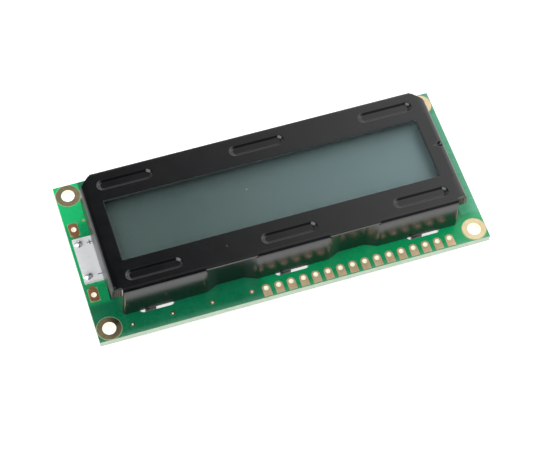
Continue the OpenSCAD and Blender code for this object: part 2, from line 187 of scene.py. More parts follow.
class Nodes:
    """Short calls for building the nodes of a material or of the world."""

    def __init__(self, owner, output="ShaderNodeOutputMaterial", coords="Object"):
        owner.use_nodes = True
        self.owner = owner
        self.tree = owner.node_tree
        self.tree.nodes.clear()
        self.output = self.new(output)
        self.coords = self.new("ShaderNodeTexCoord").outputs[coords]

    def link(self, source, socket):
        """Joins another node's output to a socket, or sets it to a plain value."""
        if hasattr(source, "links"):
            self.tree.links.new(source, socket)
        else:
            socket.default_value = source

    def new(self, kind, sockets=(), **settings):
        """A new node with these settings; sockets are pairs of a name and a source."""
        n = self.tree.nodes.new(kind)
        for key, value in settings.items():
            setattr(n, key, value)
        for key, source in sockets:
            self.link(source, n.inputs[key])
        return n

    def math(self, kind, a, b=0.0, clamp=False):
        n = self.new("ShaderNodeMath", [(0, a), (1, b)], operation=kind, use_clamp=clamp)
        return n.outputs[0]

    def chain(self, kind, values):
        total = values[0]
        for value in values[1:]:
            total = self.math(kind, total, value)
        return total

    def times(self, *values):
        return self.chain("MULTIPLY", values)

    def plus(self, *values):
        return self.chain("ADD", values)

    def most(self, *values):
        return self.chain("MAXIMUM", values)

    def absolute(self, value):
        return self.math("ABSOLUTE", value)

    def split(self, vector=None):
        """x, y and z of a vector, or of the place on the piece."""
        source = self.coords if vector is None else vector
        return self.new("ShaderNodeSeparateXYZ", [(0, source)]).outputs[:3]

    def far(self, x, y, at):
        """Distance of x, y from a place: the root of the sum of the squares."""
        dx, dy = self.math("SUBTRACT", x, at[0]), self.math("SUBTRACT", y, at[1])
        return self.math("SQRT", self.plus(self.times(dx, dx), self.times(dy, dy)))

    def lean(self):
        """z of the normal: 1 on a top face, 0 on an upright one, -1 underneath."""
        return self.split(self.new("ShaderNodeNewGeometry").outputs["Normal"])[2]

    def upright(self, limit=0.5):
        """1 on faces that stand upright, 0 on level ones."""
        return self.math("LESS_THAN", self.absolute(self.lean()), limit)

    def scaled(self, scale):
        n = self.new("ShaderNodeMapping", [("Scale", scale), ("Vector", self.coords)])
        return n.outputs[0]

    def noise(self, scale, detail=3.0, rough=0.5, vector=None):
        n = self.new("ShaderNodeTexNoise",
                     [("Scale", scale), ("Detail", detail), ("Roughness", rough),
                      ("Vector", self.coords if vector is None else vector)])
        return n.outputs["Fac"]

    def voronoi(self, scale, vector=None):
        n = self.new("ShaderNodeTexVoronoi",
                     [("Scale", scale), ("Vector", self.coords if vector is None else vector)])
        return n.outputs["Distance"]

    def wave(self, direction, scale, vector):
        n = self.new("ShaderNodeTexWave", [("Scale", scale), ("Vector", vector)],
                     wave_type="BANDS", bands_direction=direction)
        return n.outputs["Fac"]

    def remap(self, value, a, b, c, d, smooth=False):
        """Stretches a to b over c to d, and holds it there beyond both ends."""
        n = self.new("ShaderNodeMapRange",
                     [("From Min", a), ("From Max", b), ("To Min", c), ("To Max", d),
                      ("Value", value)],
                     interpolation_type="SMOOTHSTEP" if smooth else "LINEAR")
        return n.outputs["Result"]

    def spread(self, noise, a, b):
        """Noise, most of which lies between 0.3 and 0.7, stretched over a to b."""
        return self.remap(noise, 0.3, 0.7, a, b)

    def band(self, value, low, high, soft):
        """1 between low and high, 0 outside, with soft edges: the product of two ramps."""
        return self.times(self.remap(value, low - soft, low + soft, 0, 1, smooth=True),
                          self.remap(value, high - soft, high + soft, 1, 0, smooth=True))

    def mix(self, factor, a, b):
        n = self.new("ShaderNodeMix", [("Factor", factor)], data_type="RGBA")
        for source, socket in zip((a, b), [s for s in n.inputs if s.type == "RGBA"]):
            self.link(source, socket)
        return [s for s in n.outputs if s.type == "RGBA"][0]

    def bump(self, height, strength, distance=FINE_BUMP):
        n = self.new("ShaderNodeBump", [("Strength", strength), ("Distance", distance),
                                        ("Height", height)])
        return n.outputs[0]

    def surface(self, **sockets):
        """One Principled shader with these sockets, joined to the output."""
        n = self.new("ShaderNodeBsdfPrincipled",
                     [(key.replace("_", " "), value) for key, value in sockets.items()])
        self.link(n.outputs[0], self.output.inputs["Surface"])
        return self.owner


def material_nodes(name):
    return Nodes(bpy.data.materials.new(name))


def rgb(r, g, b):
    return (r, g, b, 1.0)


# ---------------- materials
# places in the materials are in metres, as Object coordinates are

def solder_mask_material():
    """Glossy green mask over woven laminate. It is painted lighter at the left end, on the
    right strip and on the front strip from the middle rightwards, standing in for the light
    that falls there; copper tracks make it a little lighter at the back; the cut edges and
    the slots show the pale laminate, and so does a thin line round each bare land."""
    m = material_nodes("green solder mask")
    x, y, _ = m.split()
    lean = m.lean()
    is_side = m.math("LESS_THAN", m.absolute(lean), 0.5)
    under_side = m.math("LESS_THAN", lean, -0.5)

    # painted light: the left strip grows lighter towards the rear, and the right strip is
    # lighter along its length, standing in for the light that falls on them
    painted_light_fade = m.plus(m.remap(y, -0.0104, -0.0092, 0.0, 0.40, smooth=True),
                  m.remap(y, -0.0050, 0.0078, 0.0, 0.14),
                  m.remap(y, 0.0080, 0.0096, 0.0, 0.50, smooth=True))
    left_painted_light = m.times(m.remap(x, -0.0352, -0.0348, 1, 0), painted_light_fade)
    right_painted_light = m.times(m.band(x, 0.0362, 0.0400, 0.0002),
                         m.band(y, -0.0118, 0.0128, 0.0003), 0.45)
    # painted light on the front strip: lighter from just left of the middle, and more so
    # towards the right, where the light from the right falls
    front_painted_light = m.times(m.plus(m.remap(x, -0.0078, -0.0048, 0, 0.32),
                          m.remap(x, 0.008, 0.037, 0, 0.14)),
                   m.remap(y, -0.0122, -0.0112, 1, 0))

    # tracks at the back: parallel runs that change direction from patch to patch
    step = m.scaled((394.0, 394.0, 1.0))
    pick = m.math("GREATER_THAN", m.noise(0.16, 0.0, vector=step), 0.5)
    lines = m.plus(m.times(m.wave("X", 0.5, step), pick),
                   m.times(m.wave("Y", 0.5, step), m.math("SUBTRACT", 1.0, pick)))
    where = m.remap(m.voronoi(0.32, vector=step), 0.35, 0.45, 1, 0, smooth=True)
    track = m.times(m.remap(lines, 0.72, 0.80, 0, 1, smooth=True),
                    m.most(m.times(where, 0.18), under_side))

    mottled = m.noise(420, 4.0, 0.6)
    green = m.mix(m.spread(mottled, 0, 1), rgb(0.0004, 0.158, 0.062),
                  rgb(0.0006, 0.190, 0.082))
    # painted light: lighter greens where the light falls on the left, right and front strips
    green = m.mix(m.most(left_painted_light, right_painted_light, front_painted_light), green, rgb(0.0006, 0.62, 0.185))
    green = m.mix(right_painted_light, green, rgb(0.070, 0.48, 0.29))
    green = m.mix(m.times(track, 0.45), green, rgb(0.001, 0.26, 0.098))

    # the mask is paler along the front edge; near the right edge it is painted lighter,
    # standing in for the light from the right
    green = m.mix(m.remap(y, -0.0179, -0.0168, 0.32, 0), green, rgb(0.20, 0.50, 0.33))
    thin = m.times(m.remap(x, 0.0375, 0.0399, 0, 0.6), m.remap(y, -0.0150, -0.0110, 0, 1))
    green = m.mix(thin, green, rgb(0.24, 0.78, 0.50))

    # thin pale line where the mask stops short of the corner and backlight lands, and
    # one small gold test spot at the left
    across, along = m.absolute(x), m.absolute(y)
    ring = m.band(m.far(across, along, (HOLE_X * MM, HOLE_Y * MM)), 0.0020, 0.00252, 0.00004)
    beside_x = m.band(x, -0.03941, -0.03739, 0.00004)
    beside_y = m.band(m.math("SUBTRACT", along, WIRE_Y * MM), -0.00150, 0.00150, 0.00004)
    green = m.mix(m.most(ring, m.times(beside_x, beside_y)), green, rgb(0.40, 0.50, 0.27))
    spot = m.far(x, y, (-0.0360, 0.0092))
    green = m.mix(m.remap(spot, 0.00022, 0.00034, 1, 0), green, rgb(0.62, 0.47, 0.22))

    edge = m.mix(m.spread(m.noise(500, 2.0), 0, 1), rgb(0.60, 0.72, 0.56),
                 rgb(0.68, 0.79, 0.64))
    rough = m.plus(m.spread(mottled, 0.24, 0.32), m.times(is_side, 0.3))
    weave = m.times(m.noise(2600, 1.0), 0.5)
    return m.surface(Base_Color=m.mix(is_side, green, edge), Roughness=rough, IOR=1.6,
                     Normal=m.bump(m.plus(m.times(track, 0.6), weave), 0.3, BUMP))


def metal_material(name, light, dark, rough, grain, metallic=1.0, barrel=None):
    """Metal with cloudy tarnish in its colour and roughness, and a fine grain. barrel is the
    colour of the plating down the holes, paler than the land: painted light standing in
    for the white floor that lights the holes from beneath."""
    m = material_nodes(name)
    cloud = m.noise(700, 3.0, 0.55)
    colour = m.mix(m.spread(cloud, 0, 1), dark, light)
    rough_map = m.spread(cloud, rough + 0.05, rough - 0.03)
    if barrel is not None:
        upright = m.upright()
        # painted light: upright faces take the paler barrel colour
        colour = m.mix(upright, colour, barrel)
        metallic = m.most(upright, metallic)
        rough_map = m.math("SUBTRACT", rough_map, m.times(upright, 0.17))
    return m.surface(Base_Color=colour, Metallic=metallic, Roughness=rough_map,
                     Normal=m.bump(m.noise(9000, 2.0), grain))


def black_paint_material():
    """Black paint over pressed steel: a faint orange-peel and fine specks, with the
    scuffs a little rougher than the rest. The end walls and the left front corner are
    duller, and one pin-prick sits in the front rail."""
    m = material_nodes("black paint")
    x, y, z = m.split()
    scuff = m.noise(260, 6.0, 0.7)
    upright = m.upright(0.6)
    colour = m.mix(m.remap(scuff, 0.45, 0.75, 0, 1), rgb(0.0022, 0.0028, 0.0034),
                   rgb(0.0036, 0.0040, 0.0047))

    # painted reflection: the left end wall is made a metallic grey that grows lighter low
    # down, standing in for its reflection of the white tab and board beside it
    steel = m.times(upright, m.remap(x, -0.0352, -0.0354, 0, 1))
    thin = m.times(steel, m.remap(z, 0.0052, 0.0112, 1.0, 0.22))
    colour = m.mix(thin, colour, rgb(0.22, 0.225, 0.235))
    # the upright faces round the window are dark grey instead of black
    by_window = m.times(m.math("LESS_THAN", m.absolute(x), 0.0328),
                        m.math("LESS_THAN", m.absolute(y), 0.0075), upright)
    colour = m.mix(by_window, colour, rgb(0.050, 0.054, 0.058))

    past_end = m.absolute(m.math("SUBTRACT", x, SIT[0] * MM))
    end_wall = m.most(m.remap(past_end, 0.0352, 0.0357, 0, 0.16), m.times(upright, 0.11))
    corner = m.times(m.math("LESS_THAN", z, 0.0118), m.math("LESS_THAN", x, -0.0337),
                     m.math("LESS_THAN", y, -0.0098), 0.26)
    rough = m.plus(m.remap(scuff, 0.35, 0.75, 0.11, 0.17), m.most(end_wall, corner))

    prick = m.remap(m.far(x, y, (-0.0120, -0.0096)), 0.0, 0.00028, -50.0, 0.0, smooth=True)
    height = m.plus(m.noise(1400, 2.0), m.times(m.noise(14000, 1.0), 0.25), prick)
    return m.surface(Base_Color=colour, Roughness=rough, IOR=1.72, Metallic=steel,
                     Normal=m.bump(height, 0.12, BUMP))


def plain_material(name, colour, other, rough, spread=0.06, scale=900, grain=0.2,
                   grain_scale=4000):
    """Two close tones in soft clouds, with roughness and a fine bump that follow them."""
    m = material_nodes(name)
    cloud = m.noise(scale, 4.0, 0.6)
    return m.surface(Base_Color=m.mix(m.spread(cloud, 0, 1), colour, other),
                     Roughness=m.spread(cloud, rough - spread, rough + spread),
                     Normal=m.bump(m.noise(grain_scale, 2.0), grain))


def display_film_material():
    """The part-mirror film behind the cell: a silky grey-green, half metallic, with painted
    shade that darkens it towards the left end, away from the light at the right, and
    one bright speck."""
    m = material_nodes("reflecting film")
    x, y, _ = m.split()
    silk = m.noise(500, 3.0, vector=m.scaled((6.0, 0.6, 1.0)))
    # painted shade: darker towards the left end
    tone = m.mix(m.remap(x, -0.019, 0.031, 0, 1), rgb(0.135, 0.205, 0.192),
                 rgb(0.280, 0.405, 0.420))
    tone = m.mix(m.spread(m.noise(40, 2.0), 0, 0.05), tone, rgb(0.42, 0.52, 0.50))
    speck = m.far(x, y, (-0.0043, 0.0026))
    tone = m.mix(m.remap(speck, 0.00010, 0.00024, 0.4, 0), tone, rgb(0.88, 0.94, 0.92))
    return m.surface(Base_Color=tone, Roughness=m.spread(silk, 0.46, 0.54), Metallic=0.55,
                     Normal=m.bump(silk, 0.04))


def clear_layer_material(name, tint, opacity, ior, rough=0.06):
    """A clear layer: a faint tint over what lies under it, with a glossy skin."""
    m = material_nodes(name)
    return m.surface(Base_Color=tint, Alpha=opacity, IOR=ior,
                     Roughness=m.spread(m.noise(260, 2.0), rough, rough + 0.03),
                     Normal=m.bump(m.noise(5200, 2.0), 0.04))


def zebra_material():
    """Silicone strip with thin black carbon layers across it, four to the millimetre."""
    m = material_nodes("layered rubber")
    x, y, _ = m.split()
    wave = m.math("SINE", m.times(x, 2 * math.pi * 4 / MM))
    inside = m.most(m.band(y, -0.0112, -0.0101, 0.00003), m.band(y, 0.0101, 0.0112, 0.00003))
    dark = m.times(m.remap(wave, -0.1, 0.1, 0, 1), inside)
    return m.surface(Base_Color=m.mix(dark, rgb(0.72, 0.40, 0.42), rgb(0.02, 0.02, 0.02)),
                     Roughness=m.spread(m.noise(3000), 0.45, 0.6),
                     Normal=m.bump(m.noise(6000, 2.0), 0.15))


def light_guide_material():
    """Clear acrylic with a field of fine printed dots that scatter the light."""
    m = material_nodes("light guide")
    dot = m.remap(m.voronoi(1600), 0.18, 0.24, 1, 0)
    return m.surface(Base_Color=m.mix(dot, rgb(0.72, 0.80, 0.84), rgb(0.95, 0.95, 0.95)),
                     Roughness=m.remap(dot, 0, 1, 0.08, 0.5), IOR=1.49, Alpha=0.75,
                     Normal=m.bump(dot, 0.1))


mask_green = solder_mask_material()
# the paler barrel colours below are painted light from the white floor beneath the holes
gold = metal_material("gold plate", rgb(1.0, 0.88, 0.57), rgb(0.93, 0.74, 0.42), 0.20, 0.06,
                      barrel=rgb(0.98, 0.90, 0.78))
pin_gold = metal_material("thin gold plate", rgb(1.0, 0.79, 0.52), rgb(0.86, 0.57, 0.32),
                          0.34, 0.2, 0.6, barrel=rgb(1.0, 0.93, 0.76))
bare_copper = metal_material("tarnished copper", rgb(0.56, 0.28, 0.13), rgb(0.38, 0.17, 0.075),
                             0.34, 0.3, 0.7, barrel=rgb(0.98, 0.86, 0.72))
tin = metal_material("bright solder", rgb(0.80, 0.80, 0.82), rgb(0.62, 0.62, 0.65), 0.16, 0.35)
black_paint = black_paint_material()
white_mask = plain_material("white mask", rgb(0.94, 0.95, 0.97), rgb(0.96, 0.97, 0.98), 0.3,
                            grain=0.12)
ink = plain_material("dark ink", rgb(0.075, 0.06, 0.075), rgb(0.11, 0.09, 0.11), 0.5)
white_plastic = plain_material("white plastic", rgb(0.82, 0.82, 0.80), rgb(0.88, 0.88, 0.86),
                               0.45, grain=0.2)
white_film = plain_material("white film", rgb(0.88, 0.89, 0.88), rgb(0.93, 0.94, 0.93), 0.5)
seal = plain_material("cured resin", rgb(0.50, 0.47, 0.34), rgb(0.60, 0.57, 0.44), 0.35)
epoxy = plain_material("black epoxy", rgb(0.010, 0.010, 0.011), rgb(0.018, 0.018, 0.019), 0.3,
                       spread=0.1, scale=500, grain=0.35, grain_scale=1500)
silicon = plain_material("bare silicon", rgb(0.22, 0.24, 0.30), rgb(0.30, 0.32, 0.36), 0.2)
lamp = plain_material("lamp resin", rgb(0.90, 0.84, 0.42), rgb(0.95, 0.92, 0.62), 0.2)
chip_black = plain_material("black glaze", rgb(0.018, 0.018, 0.02), rgb(0.03, 0.03, 0.033),
                            0.25)
chip_tan = plain_material("tan ceramic", rgb(0.40, 0.27, 0.16), rgb(0.50, 0.36, 0.23), 0.4)
film_back = display_film_material()
polariser = clear_layer_material("polarising film", rgb(0.010, 0.016, 0.016), 0.10, 1.7, 0.10)
glass = clear_layer_material("cell glass", rgb(0.03, 0.05, 0.045), 0.02, 1.5)
rubber = zebra_material()
guide = light_guide_material()

cad_finish = {
    "circuit_board": mask_green, "mounting_lands": gold, "pin_lands": pin_gold,
    "backlight_lands": bare_copper, "via_rings": gold, "contact_fingers": gold,
    "front_polariser": polariser, "upper_glass": glass, "cell_seal": seal,
    "fill_port_plug": seal, "lower_glass": film_back, "rear_polariser": film_back,
    "zebra_strip_front": rubber, "zebra_strip_rear": rubber,
    "backlight_frame": white_plastic, "light_guide": guide, "diffuser_film": white_film,
    "reflector_film": white_film, "lamp_board": white_mask, "lamp_chips": lamp,
    "positive_joint": tin, "negative_joint": tin, "controller_die": silicon,
    "controller_blob": epoxy, "driver_die": silicon, "driver_blob": epoxy,
    "bias_resistors": chip_black, "clock_resistor": chip_black,
    "lamp_resistors": chip_black, "filter_capacitors": chip_tan,
    "bezel_frame": black_paint,
}
for node, finish in cad_finish.items():
    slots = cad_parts[node].data.materials
    if not slots:
        slots.append(finish)
    for n in range(len(slots)):
        slots[n] = finish


# ---------------- bezel

SHEET = 0.6                     # thickness of the sheet
WIDE = HALF_W + 0.15            # half width over the feet of the skirts
LONG = HALF_L + 0.2             # half length over the feet of the end walls
FRONT_FOLD, REAR_FOLD = 1.0, 0.5        # outer radii of the folds
BULGE, CREST = 0.26, 4.2        # how far a wall bows out, and at what height
WIN_X, WIN_Y, WIN_R = 32.2, 6.9, 0.25           # half sizes and corner of the window
MIDDLE, OUTER, FACET = 7.3, 17.6, 2.4   # |x| where the recesses begin and end; their facets
RECESS, LIP = WIDE - 1.05, HALF_W       # |y| of the recessed walls and the lips over them
CURL, SKIRT_END, NOTCH = 33.4, 33.85, 34.1      # |x| at the free ends of the front skirts
CORNER = LONG + WIDE - 2.65     # |x| + y on the rear corner cuts
FLARE = 0.45                    # how far a skirt's foot spreads at its free end
STRIP_Y, OPEN_DROP = 9.7, 3.3   # the ends are open in front of this y, this far down
TAB_GAP = 0.1                   # air round the white tab where it leaves the end wall
RAIL = 8.0                      # where the rails begin, beside the window
ROLL = 0.09                     # radius of the rolled edge of the window
GROOVE_X, GROOVE_Y = (-27.0, 0.0, 27.0), 10.4
GROOVE_HALF, GROOVE_R, GROOVE_FLOOR, GROOVE_DEEP = 4.4, 1.2, 0.6, 0.4
WALL_H = np.array([0.0, 0.25, 0.8, 1.5, 2.2, 3.0, 3.8, 4.6, 5.4, 6.2, 7.0, 7.5])
HIGH = FACE - TOP               # height of the face over the board
ARC = 13                        # points over a fold
HAIR = 1e-6                     # slack when stations are picked


def groove_depth(x, y):
    """Depth of the six pressed grooves: the distance d to each groove's centre line, full
    depth for d under the floor's half width, and a cosine slope from there to the lip."""
    depth = np.zeros(np.broadcast(x, y).shape)
    for gx in GROOVE_X:
        along = np.clip(x - gx, -GROOVE_HALF, GROOVE_HALF)
        d = np.hypot(x - gx - along, np.abs(y) - GROOVE_Y)
        t = np.clip((d - GROOVE_FLOOR) / (GROOVE_R - GROOVE_FLOOR), 0, 1)
        depth = np.maximum(depth, GROOVE_DEEP * 0.5 * (1 + np.cos(math.pi * t)))
    return depth


def mark_depth(x, y):
    """A small round punch mark in the right edge: a dish that is deepest in its middle."""
    d = np.hypot(x - (LONG - 0.9), y - 0.15)
    return 0.6 * np.clip(1 - (d / 0.58) ** 2, 0, 1) ** 0.8


def wall_offset(h):
    """How far a wall stands out beyond its foot at height h: a parabola with its top at
    the crest."""
    return BULGE * (1 - ((h - CREST) / CREST) ** 2)


def fold_profile(radius):
    """Outward distance and height of the outer and inner skin over a fold and down the
    wall to its foot: an arc of a circle that meets the bowed wall's slope, then the wall.
    The first entry is where the flat of the face ends."""
    low = HIGH - radius
    slope = math.atan(2 * BULGE * (low - CREST) / CREST ** 2)
    a = np.linspace(0, math.pi / 2 - slope, ARC)
    h = np.append(WALL_H[WALL_H < low - 0.2], low - radius * 0.02)[::-1]
    start = float(wall_offset(low)) - radius * math.sin(a[-1])
    inner = max(radius - SHEET, 0.02)
    o = np.concatenate([start + radius * np.sin(a), wall_offset(h)[1:]])
    z = np.concatenate([FACE - radius * (1 - np.cos(a)), TOP + h[1:]])
    oi = np.concatenate([start + inner * np.sin(a), wall_offset(h)[1:] - SHEET])
    zi = np.concatenate([FACE - SHEET - inner * (1 - np.cos(a)), TOP + h[1:]])
    return o, z, oi, zi


front_fold, rear_fold = fold_profile(FRONT_FOLD), fold_profile(REAR_FOLD)
X0 = LONG + float(front_fold[0][0])             # where the flat of the face ends
Y_FRONT = WIDE + float(front_fold[0][0])
Y_REAR = WIDE + float(rear_fold[0][0])


def flat_skins(x, y, roll_at=None):
    """Outer and inner skin of the flat of the face over a grid of places. roll_at is each
    point's distance from the window, where the skin rolls down as a quarter circle."""
    sunk = groove_depth(x, y)
    drop = sunk + np.where(x > 0, mark_depth(x, y), 0)
    if roll_at is not None:
        near = np.clip(ROLL - roll_at, 0, ROLL)
        drop = drop + ROLL - np.sqrt(ROLL ** 2 - near ** 2)
    return (np.dstack([x, y, FACE - drop]), np.dstack([x, y, FACE - SHEET - sunk]))


def window_patch(inner_xy, outer_xy):
    """Part of the face round the window: straight lines from each inner point to its outer
    point, close together over the rolled edge and again at the far end."""
    span = np.linalg.norm(outer_xy - inner_xy, axis=1)[:, None]
    near = ROLL * np.array([0, 0.12, 0.3, 0.55, 0.8, 1.0])
    far = ROLL + (span - ROLL) * np.array([0.04, 0.4, 0.74, 0.80, 0.86, 0.91, 0.955, 1.0])
    d = np.concatenate([np.broadcast_to(near, (len(span), len(near))), far], 1)
    t = (d / span)[..., None]
    plan = inner_xy[:, None, :] * (1 - t) + outer_xy[:, None, :] * t
    return flat_skins(plan[..., 0], plan[..., 1], d)


def stations(fixed, fine, coarse):
    """Sorted places: fixed ones, fine runs, and coarse ones no nearer than 0.06 to them."""
    keep = np.unique(np.round(fixed, 4))
    for more in (fine, coarse):
        far = np.abs(np.asarray(more)[:, None] - keep[None, :]).min(1) > 0.06
        keep = np.unique(np.round(np.concatenate([keep, np.asarray(more)[far]]), 4))
    return keep


def between(values, low, high=np.inf):
    """The stations from low to high, both counted in."""
    return values[(values >= low - HAIR) & (values <= high + HAIR)]


def on_side(values, sign, low, high=np.inf):
    """The stations of one sign whose size lies from low to high."""
    return between(values, *sorted((sign * low, sign * high)))


def line_at(x, y):
    """Points on a line in plan; x or y may be one number for all of them."""
    return np.column_stack(np.broadcast_arrays(x, y))


def rail_x():
    """Stations along the rails: all the breaks of the walls, fine over groove ends."""
    half = [0.0, MIDDLE, MIDDLE + FACET, OUTER - FACET, OUTER, WIN_X - WIN_R, CURL, SKIRT_END,
            NOTCH, X0, CORNER - Y_REAR]
    fixed = np.array([s * v for v in half for s in (-1, 1)])
    steps = np.linspace(GROOVE_HALF - 0.3, GROOVE_HALF + 1.3, 17)
    fine = np.concatenate([gx + s * steps for gx in GROOVE_X for s in (-1, 1)])
    fine = fine[np.abs(fine) < X0]
    return stations(fixed, fine, np.linspace(-X0, X0, 60))


def rail_y(last, extra):
    """Rows across a rail, fine over the width of a groove."""
    fine = GROOVE_Y + np.concatenate([np.linspace(-1.25, -0.5, 12), [-0.25, 0, 0.25],
                                      np.linspace(0.5, 1.25, 12)])
    return stations(np.array([RAIL, last] + extra), fine, np.arange(RAIL, last, 0.4))


def rail(xs, ys, side):
    """A rail of the face; at the rear its corners are drawn in to the 45 degree cut."""
    x, y = np.meshgrid(xs, ys, indexing="ij")
    if side > 0:
        x = np.sign(x) * np.minimum(np.abs(x), CORNER - y)
    return flat_skins(x, side * y)


def pull_in(skin, axis):
    """Moves points that lie beyond a rear corner's cut back to it, along one axis."""
    over = np.clip(np.abs(skin[..., 0]) + skin[..., 1] - CORNER, 0, None)
    skin[..., axis] -= np.sign(skin[..., axis]) * over
    return skin


def long_fold(xs, side, rows=None):
    """Fold and skirt along one long side, at stations xs. The skirts widen a little
    towards the foot at their outer ends. rows keeps only the first rows."""
    o, z, oi, zi = front_fold if side < 0 else rear_fold
    skins = []
    for off, level in ((o, z), (oi, zi)):
        off, level = off[:rows], level[:rows]
        x, y = np.meshgrid(xs, side * (WIDE + off), indexing="ij")
        level = np.broadcast_to(level, x.shape)
        if side < 0:
            x = x + np.sign(x) * skirt_flare(np.abs(x), level - TOP)
        skins.append(pull_in(np.dstack([x, y, level]), 0) if side > 0
                     else np.dstack([x, y, level]))
    return skins[0], skins[1]


def skirt_flare(x, h):
    """Outward shift of the end of a skirt: grows over its last millimetre, and linearly
    from the fold down to the foot."""
    return FLARE * np.clip(x - CURL + 1.0, 0, 1) * np.clip(1 - h / (HIGH - FRONT_FOLD), 0, 1)


def end_fold(ys, sx, foot=None):
    """Fold and wall along one end, at stations ys. foot lifts the wall's lower edge."""
    o, z, oi, zi = front_fold
    skins = []
    for off, level in ((o, z), (oi, zi)):
        if foot is not None:
            off = np.where(level < foot, np.interp(foot, level[::-1], off[::-1]), off)
            level = np.maximum(level, foot)
        y, x = np.meshgrid(ys, sx * (LONG + off), indexing="ij")
        level = np.broadcast_to(level, x.shape).copy()
        if sx > 0:
            level -= np.where(level > FACE - 0.7, mark_depth(x, y), 0)
        skins.append(pull_in(np.dstack([x, y, level]), 1))
    return skins[0], skins[1]


def lip_patch(xs, side):
    """The face over a recess runs on to a cut lip, whose top edge is rolled."""
    y0 = Y_FRONT if side < 0 else Y_REAR
    y = np.array([y0, LIP - 0.22, LIP - 0.15, LIP - 0.09, LIP - 0.045, LIP - 0.012, LIP])
    drop = np.array([0, 0.004, 0.02, 0.045, 0.085, 0.14, 0.22])
    x, yy = np.meshgrid(xs, side * y, indexing="ij")
    return (np.dstack([x, yy, np.broadcast_to(FACE - drop, x.shape)]),
            np.dstack([x, yy, np.full(x.shape, FACE - SHEET)]))


def recess_wall(xs):
    """Recessed wall with its slanted facets under the lip, on the front side: its plan
    distance runs linearly from the skirt's face to the recess over each facet."""
    mid, half = (MIDDLE + OUTER) / 2, (OUTER - MIDDLE) / 2
    t = np.clip((half - np.abs(np.abs(xs) - mid)) / FACET, 0, 1)
    h = np.concatenate([[HIGH - SHEET], WALL_H[::-1]])
    bow = wall_offset(np.minimum(h, HIGH - FRONT_FOLD))
    out = (WIDE - (WIDE - RECESS) * t)[:, None] + bow[None, :] * (1 - 0.6 * t[:, None])
    x = np.broadcast_to(xs[:, None], out.shape)
    z = np.broadcast_to(TOP + h, out.shape)
    return np.dstack([x, out, z]), np.dstack([x, out - SHEET, z])


def curled_end(sx):
    """The free end of a front skirt: its wall turns inwards round a quarter circle and
    runs on a little way towards the middle."""
    radius, run_on = 0.45, WIDE - 0.45 - 12.75
    a = np.linspace(0, math.pi / 2, 8)
    h = np.concatenate([[HIGH - FRONT_FOLD], WALL_H[::-1]])
    skins = []
    for r in (radius, max(radius - SHEET, 0.02)):
        out = np.append(r * np.sin(a), r)[:, None]
        back = np.append(radius - r * np.cos(a), radius + run_on)[:, None]
        x = CURL + out + skirt_flare(CURL, h)[None, :]
        y = WIDE + wall_offset(h)[None, :] - back
        skins.append(np.dstack([sx * x, -y, np.broadcast_to(TOP + h, x.shape)]))
    return skins[0], skins[1]


def bezel():
    """The whole pressed bezel as welded patches of one bent sheet."""
    xs = rail_x()
    front = rail_y(Y_FRONT, [RECESS])
    rear = rail_y(Y_REAR, [CORNER - X0])
    notch = TAB_Y + TAB_GAP
    ends = stations(np.array([WIN_Y - WIN_R, WIN_R - WIN_Y, notch, -notch]),
                    np.linspace(-0.5, 0.8, 14), np.linspace(-6, 6, 19))
    patches = []
    add = patches.append

    # flat of the face: rails, then the ring round the window
    add(rail(xs, rear, 1))
    add(rail(between(xs, -NOTCH, NOTCH), front, -1))
    for sx in (-1, 1):
        add(rail(on_side(xs, sx, NOTCH), between(front, 0, RECESS), -1))
    for side in (-1, 1):
        part = between(xs, WIN_R - WIN_X, WIN_X - WIN_R)
        add(window_patch(line_at(part, side * WIN_Y), line_at(part, side * RAIL)))
    for sx in (-1, 1):
        add(window_patch(line_at(sx * WIN_X, ends), line_at(sx * X0, ends)))
        for side in (-1, 1):
            add(window_corner(xs, sx, side))

    # folds and walls
    for side in (-1, 1):
        last = CURL if side < 0 else CORNER - Y_REAR
        for a, b in ((-last, -OUTER), (-MIDDLE, MIDDLE), (OUTER, last)):
            add(long_fold(between(xs, a, b), side))
        for a, b in ((-OUTER, -MIDDLE), (MIDDLE, OUTER)):
            part = between(xs, a, b)
            add(lip_patch(part, side))
            add([skin * (1, side, 1) for skin in recess_wall(part)])
    corner = corner_side()
    ys = np.unique(np.round(np.concatenate(
        [ends, corner, -corner, between(rear, 0, CORNER - X0), -between(front, 0, RECESS)]), 4))
    open_to = ys[np.argmin(np.abs(ys + STRIP_Y))]
    for sx in (-1, 1):
        add(long_fold(on_side(xs, sx, CURL, SKIRT_END), -1, rows=ARC))
        add(curled_end(sx))
        # in front the wall is cut away below the corner strip
        add(end_fold(between(ys, -np.inf, open_to), sx, FACE - OPEN_DROP))
        if sx < 0:
            add(end_fold(between(ys, open_to, -notch), sx))
            add(end_fold(between(ys, -notch, notch), sx, TAB_TOP + TAB_GAP))
            add(end_fold(between(ys, notch), sx))
        else:
            add(end_fold(between(ys, open_to), sx))
    return sheet_solid(patches)


def corner_side():
    """Stations on an end of the face between the window's side and the rail."""
    return np.round(np.linspace(WIN_Y - WIN_R, RAIL, 5), 4)


def window_corner(xs, sx, side):
    """One corner of the ring: lines fan out from the window's round corner to the corner
    of the rectangle between the rails."""
    along = between(xs, WIN_X - WIN_R)
    down = corner_side()[::-1][1:]
    outer = np.concatenate([line_at(along, RAIL), line_at(X0, down)])
    a = np.linspace(math.pi / 2, 0, len(outer))
    inner = line_at(WIN_X - WIN_R + WIN_R * np.cos(a), WIN_Y - WIN_R + WIN_R * np.sin(a))
    sign = np.array([sx, side])
    return window_patch(inner * sign, outer * sign)


